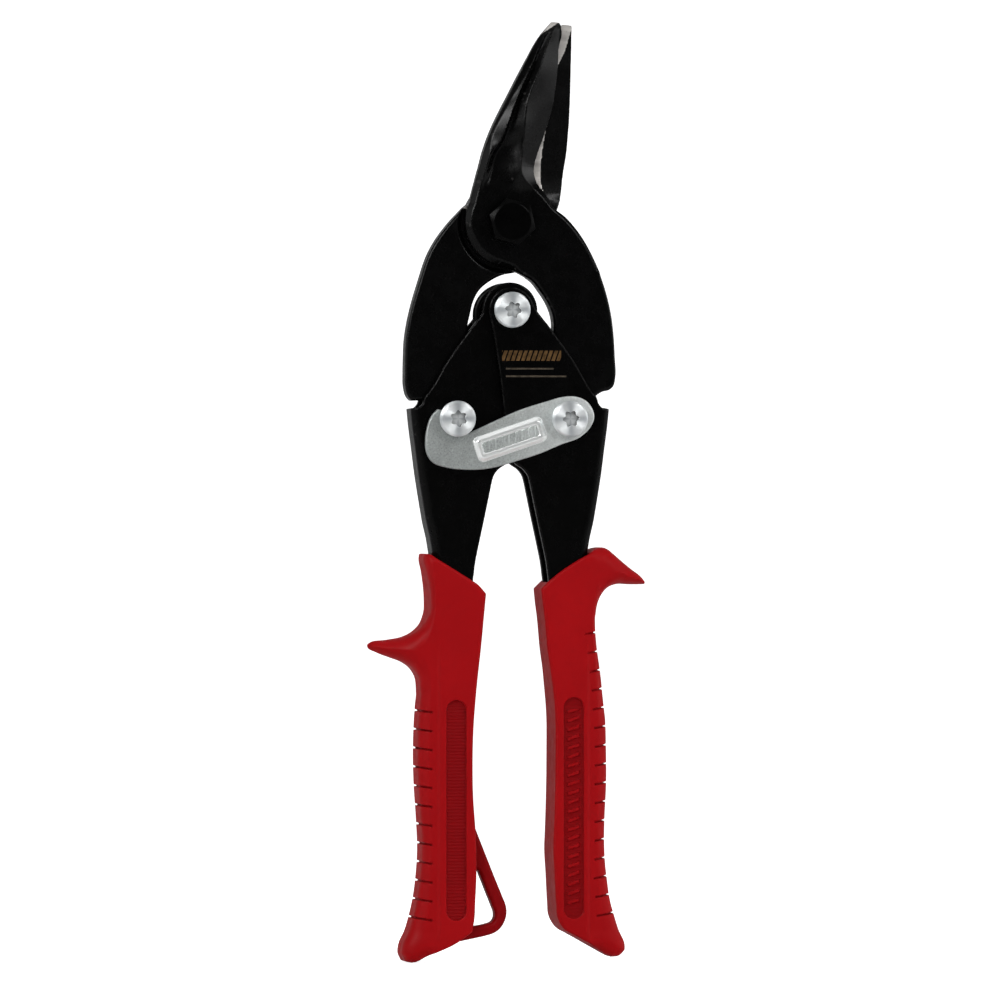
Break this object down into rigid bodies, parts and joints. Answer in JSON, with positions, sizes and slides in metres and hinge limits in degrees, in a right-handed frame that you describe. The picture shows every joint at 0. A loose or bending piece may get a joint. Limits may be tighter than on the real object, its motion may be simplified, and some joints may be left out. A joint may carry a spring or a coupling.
{
  "type": "compound-action aviation snips",
  "caption": "Compound-action sheet metal snips: bolted shear blades on two channel handles with moulded grips, an opening spring and a swinging lock latch.",
  "frame": {"origin": "centre of the main pivot bolt's hexagon head, on its front face", "axes": "+Z towards the blade tips, +X to the right seen from the bolt head side, -Y out of the front face with the bolt head and the latch"},
  "size_m": [0.0755, 0.0229, 0.248],
  "materials": {
    "black_blade_steel": "semi-gloss black, ground bare on the shear faces",
    "black_bolt_steel": "black oxide",
    "black_painted_sheet": "semi-gloss black coating on pressed sheet steel",
    "zinc_plated_steel": "bright zinc plate",
    "dull_zinc_steel": "dull zinc plate",
    "spring_steel": "black spring wire",
    "nylon": "natural nylon",
    "red_grip_vinyl": "satin red moulded vinyl"
  },
  "bodies": {
    "right_handle_body": {"right_handle": "black_painted_sheet", "right_grip": "red_grip_vinyl", "handle_pivot_screw": "zinc_plated_steel", "handle_pivot_barrel": "zinc_plated_steel", "right_link_screw": "zinc_plated_steel", "right_link_barrel": "zinc_plated_steel", "latch_wave_washer": "zinc_plated_steel", "spring_spacer": "zinc_plated_steel", "opening_spring": "spring_steel"},
    "left_handle_body": {"left_handle": "black_painted_sheet", "left_grip": "red_grip_vinyl", "left_link_screw": "zinc_plated_steel", "left_link_barrel": "zinc_plated_steel"},
    "front_blade_body": {"front_blade": "black_blade_steel", "pivot_bolt": "black_bolt_steel", "pivot_washer": "zinc_plated_steel", "pivot_nut": "zinc_plated_steel", "pivot_nut_nylon_ring": "nylon"},
    "rear_blade_body": {"rear_blade": "black_blade_steel"},
    "latch_body": {"latch": "dull_zinc_steel"}
  },
  "joints": [
    {"name": "handle_open", "type": "hinge", "parent": "right_handle_body", "child": "left_handle_body", "pos_m": [0, 0.00825, -0.0232], "axis": [0, 1, 0], "range_deg": [0, 30]},
    {"name": "front_blade_swing", "type": "hinge", "parent": "right_handle_body", "child": "front_blade_body", "pos_m": [0.015, 0.00825, -0.0519], "axis": [0, 1, 0], "range_deg": [0, 7.2]},
    {"name": "jaw_open", "type": "hinge", "parent": "front_blade_body", "child": "rear_blade_body", "pos_m": [0, 0.00825, 0], "axis": [0, 1, 0], "range_deg": [0, 15.9]},
    {"name": "latch_swing", "type": "hinge", "parent": "right_handle_body", "child": "latch_body", "pos_m": [0.015, 0.00825, -0.0519], "axis": [0, -1, 0], "range_deg": [0, 55.1]}
  ],
  "couplings": [
    {"joint": "front_blade_swing", "follows": "handle_open", "ratio": 0.2365},
    {"joint": "jaw_open", "follows": "handle_open", "ratio": 0.5269},
    {"joint": "latch_swing", "follows": "handle_open", "ratio": 1.8333}
  ]
}
